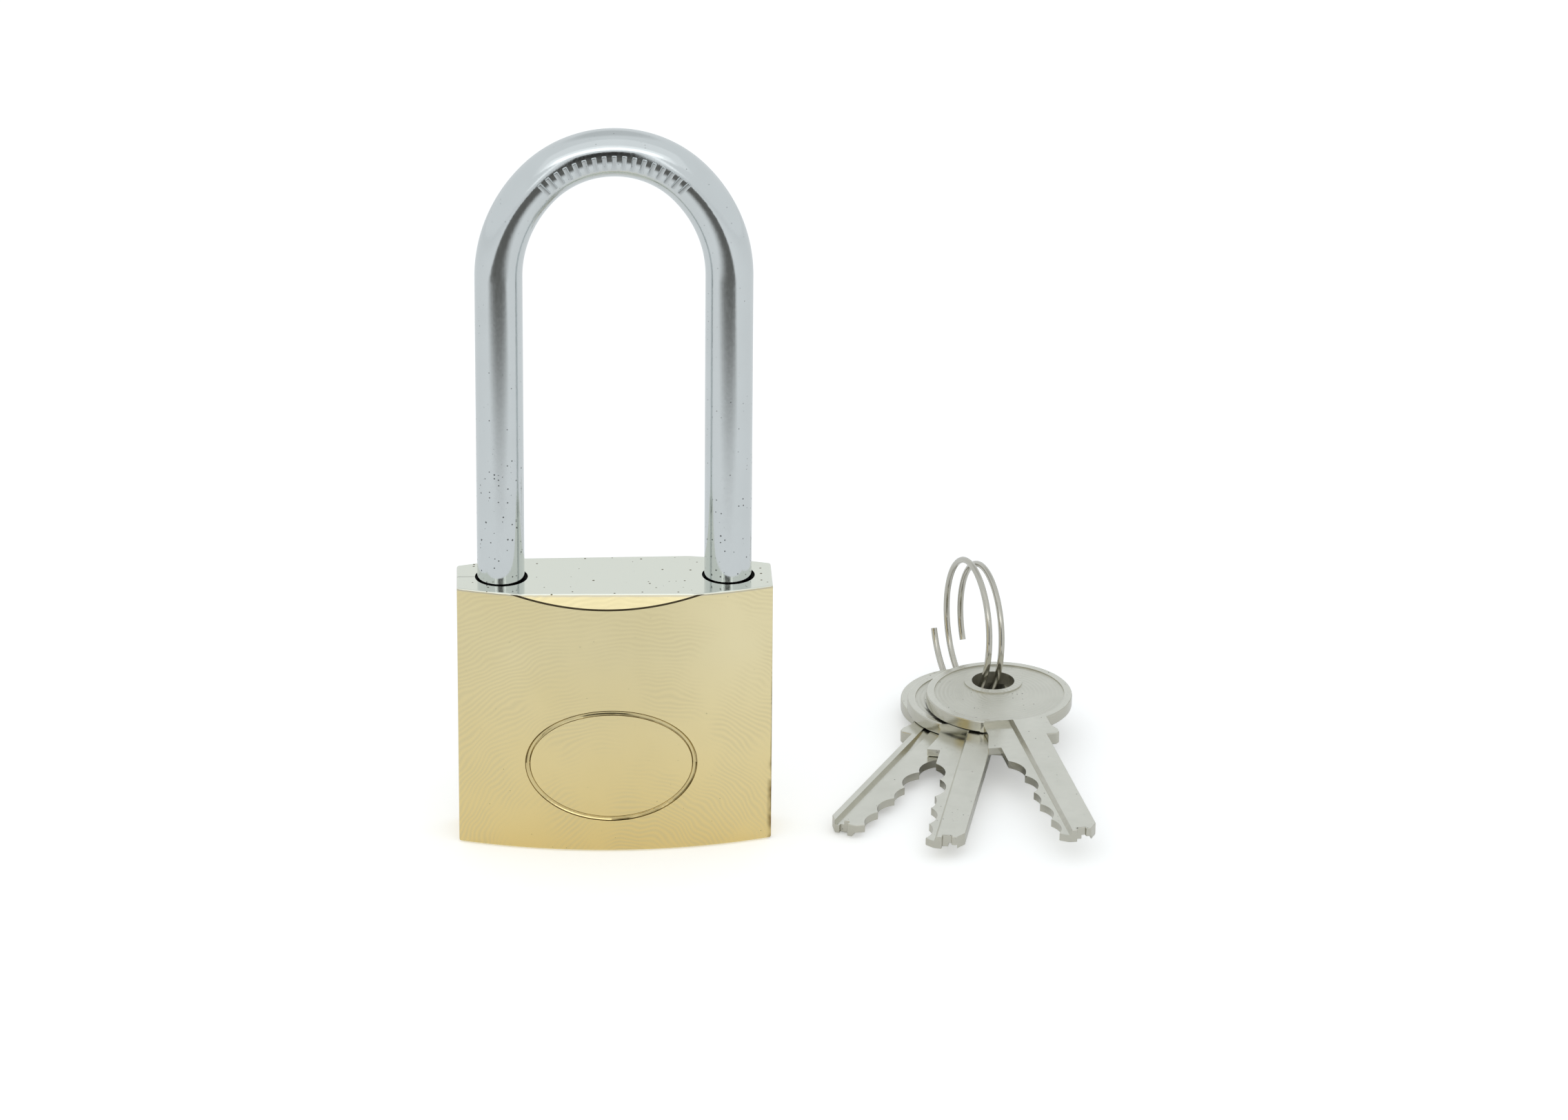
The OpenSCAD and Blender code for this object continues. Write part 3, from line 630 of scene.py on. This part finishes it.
def cut_key():
    """One key lying flat: its hole at the origin, its blade along -Y and its cuts towards -X."""
    half = blade_w / 2
    rise_y = stop_y + stop_rise
    stop = stop_w / 2
    section_y = -hole_off - bow_r + 1.2
    key = new_part("key", bpy.ops.mesh.primitive_cylinder_add, vertices=128, radius=bow_r, depth=key_t,
                   location=(0, -hole_off, key_t / 2))
    neck = plate("neck", ((-stop, stop_y), (half, stop_y), (half, rise_y), (stop - 0.5, rise_y), (stop, rise_y + 0.5),
                          (stop, rise_y + stop_len / 2), (stop - 0.7, rise_y + stop_len),
                          (stop - 0.7, -hole_off - bow_r / 2), (1.2 - stop, -hole_off - bow_r / 2),
                          (1.2 - stop, stop_y + stop_len + 1.5)), 0, key_t)
    blade = plate("blade", ((-half, stop_y + 1), (half, stop_y + 1), (half, tip_y + 2.2), (2.9, tip_y + 0.4),
                            (2.1, tip_y + 0.4), (2.1, tip_y + 1), (0.6, tip_y + 1), (0.6, tip_y), (-0.8, tip_y + 0.1),
                            (-half / 2, tip_y + 0.95), (-half, tip_y + 2.9)), 0, key_t)
    for piece, round_r in ((key, 0.3), (neck, 0.2), (blade, 0.15)):
        break_edges(piece, round_r, steeper_than=28)
    machine(key, neck, blade, operation="UNION")
    step = plate("step", ((-half - 3, tip_y - 1), (step_x, tip_y - 1), (step_x, section_y), (-half - 3, section_y)),
                 key_t - 0.8, key_t + 1)
    # The wall of the step leans, as its cutter's flank does.
    for corner in step.data.vertices:
        if corner.co.x > -1 and corner.co.z < key_t:
            corner.co.x -= 0.45
        elif corner.co.x > -1:
            corner.co.x += 0.56
    # The groove runs out where its cutter was lifted.
    run_out = block((1.5, stop_y - 2.5, -1), (3, section_y, 0.7))
    for corner in run_out.data.vertices:
        if corner.co.y > stop_y and corner.co.z > 0:
            corner.co.z = 0.02
    tools = [step, block((1.5, tip_y - 1, -1), (3, stop_y - 2.5, 0.7)), run_out,
             drill((0, 0, -1), (0, 0, key_t + 1), hole_r, facets=96)]
    # Each cut stands where the key, pushed in to its stop, meets a tumbler.
    for number, code in enumerate((1, 3, 1, 3, 3)):
        cutter_x = least_cut + cut_step * code - half - cutter_r
        cutter_y = stop_y - lowest_tumbler_z - tumbler_pitch * number
        tools.append(drill((cutter_x, cutter_y, -1), (cutter_x, cutter_y, key_t + 1), cutter_r, facets=120))
    machine(key, *tools)
    for low_z, high_z in ((-1, field_depth), (key_t - field_depth, key_t + 1)):
        field = drill((0, -hole_off, low_z), (0, -hole_off, high_z), bow_r - rim_w, facets=128)
        machine(field, drill((0, 0, -2), (0, 0, 4), hole_r + rim_w, facets=96),
                block((-bow_r, section_y - bow_r, -2), (bow_r, section_y, 4)))
        machine(key, field)
    # Each face keeps its place on the blank, and whether a cutter or the stamping die left it standing on edge, where
    # painted shade darkens it.
    place_on_blank = key.data.uv_layers.new(name="blank")
    for corner in key.data.loops:
        spot = key.data.vertices[corner.vertex_index].co
        place_on_blank.data[corner.index].uv = (spot.x, spot.y + hole_off)
    edge_wall_shade = key.data.attributes.new("edge_wall_shade", "FLOAT", "FACE")
    for facet in key.data.polygons:
        edge_wall_shade.data[facet.index].value = 1.0 if abs(facet.normal.z) < 0.8 else 0.0
    return key


tilt = math.radians(1.8)
stack_y = 45
stack_z = 1.75
layer = 2.15
flip = Matrix.Translation((0, 0, key_t)) @ Matrix.Rotation(math.pi, 4, "Y")
pattern = cut_key()
bow_below = None
for name, hole, yaw, level, turn in (("left", (62.7, 46.3), -25.9, 0, flip),
                                     ("middle", (62.4, 41.9), -11.3, 1, Matrix()),
                                     ("right", (63.8, 39.8), 8.9, 2, Matrix())):
    key = pattern.copy()
    key.data = pattern.data.copy()
    key.name = "cut_key_" + name
    bpy.context.collection.objects.link(key)
    laid = (Matrix.Translation((0, stack_y, stack_z)) @ Matrix.Rotation(tilt, 4, "X")
            @ Matrix.Translation((hole[0], hole[1] - stack_y, level * layer))
            @ Matrix.Rotation(math.radians(yaw), 4, "Z") @ turn)
    key.data.transform(laid)
    # Painted shadow: a near-black band is painted under the rim where a bow lies on the one below it.
    contact_shadow = key.data.attributes.new("contact_shadow", "FLOAT", "FACE")
    for facet, flat in zip(key.data.polygons, pattern.data.polygons):
        under = flat.center.z < 0.27 and abs(flat.normal.z) < 0.99
        if bow_below and under and (facet.center - bow_below).xy.length < bow_r + 1.5:
            contact_shadow.data[facet.index].value = 1.0
    bow_below = laid @ Vector((0, -hole_off, 0))
    fit(key, name + "_key", nickel, smooth=30)
    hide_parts("key_" + name)
bpy.data.objects.remove(pattern)


# ------------------------------------------------------------------ Key ring
# Spring wire wound a little over two turns and nickel plated, its two ends cut off square.
wire_r = 0.525
ring_r = 11.7
ring_pitch = 2.4
ring_centre = Vector((60.8, 51.7, ring_r + wire_r + 0.02))

stand = (Matrix.Translation(ring_centre) @ Matrix.Rotation(math.radians(16.6), 4, "Z")
         @ Matrix.Rotation(math.radians(2.2), 4, "Y"))
# The last turn is wound a little tighter, so that its end hangs inside the first.
winding = []
for step in range(301):
    angle = math.radians(200 + 730 * step / 300)
    drop = 0.45 * min(1, max(0, (math.degrees(angle) - 470) / 180))
    turn_r = ring_r - drop
    winding.append(stand @ Vector((ring_pitch * (angle / math.tau - 1.5), -turn_r * math.cos(angle),
                                   turn_r * math.sin(angle) - drop)))
ring = swept("wire_ring", winding, wire_r)
bright_nickel = metal("bright_nickel", (0.60, 0.58, 0.52), (0.52, 0.50, 0.44), (0.08, 0.2),
                      wave=(200, 0.4), lines=((1, 1, 1), 1500, 0.05), pits=(900, 0.07, 0.2))
fit(ring, "ring", bright_nickel, smooth=60)
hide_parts("key_ring")


# ------------------------------------------------------------------ Studio
# A white table top under broad soft light, seen a little from above through a long lens.
floor = new_part("table_top", bpy.ops.mesh.primitive_plane_add, size=8, location=(0, 0, -0.0002))
paper = bpy.data.materials.new("white_paper")
paper.use_nodes = True
sheet = paper.node_tree
surface = sheet.nodes["Principled BSDF"]
surface.inputs["Base Color"].default_value = (0.95, 0.95, 0.95, 1)
surface.inputs["Roughness"].default_value = 0.95
surface.inputs["Specular IOR Level"].default_value = 0.0
surface.inputs["Emission Color"].default_value = (1, 1, 1, 1)
ray = add(sheet, "LightPath").outputs
feed(sheet, reckon(sheet, "MULTIPLY", ray["Is Camera Ray"], 0.28), surface.inputs["Emission Strength"])
# Seen from below, the sheet isn't there, and it doesn't darken what stands on it.
touching = reckon(sheet, "LESS_THAN", ray["Ray Length"], 0.0005)
either = reckon(sheet, "MAXIMUM", add(sheet, "NewGeometry").outputs["Backfacing"], touching)
see_through = add(sheet, "MixShader", Fac=either)
feed(sheet, surface.outputs["BSDF"], see_through.inputs[1])
feed(sheet, add(sheet, "BsdfTransparent").outputs["BSDF"], see_through.inputs[2])
feed(sheet, see_through.outputs["Shader"], sheet.nodes["Material Output"].inputs["Surface"])
floor.data.materials.append(paper)

# The room is pale all round, a little darker overhead and behind, and pure white behind the object.
world = bpy.data.worlds.new("studio_light")
bpy.context.scene.world = world
world.use_nodes = True
room = world.node_tree
walls = room.nodes["Background"]
walls.inputs["Color"].default_value = (0.95, 0.985, 1.0, 1)
towards = add(room, "VectorMath")
towards.operation = "DOT_PRODUCT"
feed(room, add(room, "TexCoord").outputs["Generated"], towards.inputs[0])
feed(room, (0, 0.6, 0.8), towards.inputs[1])
feed(room, ramp(room, towards.outputs["Value"], 0.88, 0.98, 0.83, 0.66, kind="SMOOTHSTEP"), walls.inputs["Strength"])
behind = add(room, "Background", Color=(1, 1, 1), Strength=1.0)
choice = add(room, "MixShader", Fac=add(room, "LightPath").outputs["Is Camera Ray"])
feed(room, walls.outputs["Background"], choice.inputs[1])
feed(room, behind.outputs["Background"], choice.inputs[2])
feed(room, choice.outputs["Shader"], room.nodes["World Output"].inputs["Surface"])

# A dark cloth lies in front of the table and hangs up behind it: it darkens reflections and nothing else.
cloth = new_part("dark_cloth", bpy.ops.mesh.primitive_plane_add, size=1, location=(-0.05, -0.32, 0.0008),
                 scale=(0.5, 0.42, 1))
only(cloth)
bpy.ops.object.mode_set(mode="EDIT")
bpy.ops.mesh.select_all(action="DESELECT")
bpy.ops.object.mode_set(mode="OBJECT")
for edge in cloth.data.edges:
    edge.select = all(cloth.data.vertices[end].co.y < -0.5 for end in edge.vertices)
bpy.ops.object.mode_set(mode="EDIT")
bpy.ops.mesh.select_mode(type="EDGE")
bpy.ops.mesh.extrude_region_move(TRANSFORM_OT_translate={"value": (0, 0, 0.46)})
bpy.ops.object.mode_set(mode="OBJECT")
velvet = bpy.data.materials.new("dark_velvet")
velvet.use_nodes = True
pile = velvet.node_tree
axes = add(pile, "SeparateXYZ", Vector=add(pile, "TexCoord").outputs["Object"]).outputs
cover = 1.0
for axis, clear, full in (("X", -0.25, -0.2), ("X", 0.17, 0.12), ("Y", -0.12, -0.27), ("Z", 0.44, 0.425)):
    cover = reckon(pile, "MULTIPLY", cover, ramp(pile, axes[axis], clear, full, kind="SMOOTHSTEP"))
shader = pile.nodes["Principled BSDF"].inputs
shader["Roughness"].default_value = 1.0
feed(pile, cover, shader["Alpha"])
hanging = ramp(pile, axes["Z"], 0.05, 0.25)
feed(pile, blend(pile, hanging, (0.12, 0.115, 0.105), (0.03, 0.028, 0.025)), shader["Base Color"])
cloth.data.materials.append(velvet)
cloth.visible_camera = False
cloth.visible_diffuse = False
cloth.visible_shadow = False


def soft_box(name, place, aim, size, power):
    lamp = bpy.data.lights.new(name, "AREA")
    lamp.shape = "RECTANGLE"
    lamp.size, lamp.size_y = size
    lamp.energy = power
    holder = bpy.data.objects.new(name, lamp)
    holder.location = place
    holder.rotation_euler = (Vector(aim) - Vector(place)).to_track_quat("-Z", "Y").to_euler()
    bpy.context.collection.objects.link(holder)


soft_box("soft_box_over", (0, -0.52, 0.93), (0, 0, 0.06), (1.9, 0.95), 0.62)
soft_box("strip_wide", (-0.04, -0.56, 0.58), (0, 0, 0.1), (1.0, 0.3), 0.2)
soft_box("strip_over", (-0.04, -0.54, 0.50), (0, 0, 0.1), (0.7, 0.14), 0.15)
soft_box("strip_left", (-0.26, -0.53, 0.30), (0, 0, 0.1), (0.05, 0.3), 0.02)
soft_box("strip_right", (0.18, -0.53, 0.30), (0, 0, 0.1), (0.05, 0.3), 0.02)

# The camera stands about a metre off, looks down a little and leans by half a degree.
eye = Vector((-0.01889, -0.97909, 0.44675))
forward = Vector((0.04325, 0.92467, -0.37830)).normalized()
level = forward.cross(Vector((0, 0, 1))).normalized()
upward = level.cross(forward)
roll = math.radians(0.51)
right = level * math.cos(roll) + upward * math.sin(roll)
over = upward * math.cos(roll) - level * math.sin(roll)
lens = bpy.data.cameras.new("long_lens")
lens.lens = 153.2
lens.sensor_width = 36
camera = bpy.data.objects.new("camera", lens)
camera.matrix_world = Matrix.Translation(eye) @ Matrix((right, over, -forward)).transposed().to_4x4()
bpy.context.collection.objects.link(camera)
bpy.context.scene.camera = camera
bpy.context.scene.view_settings.view_transform = "Standard"
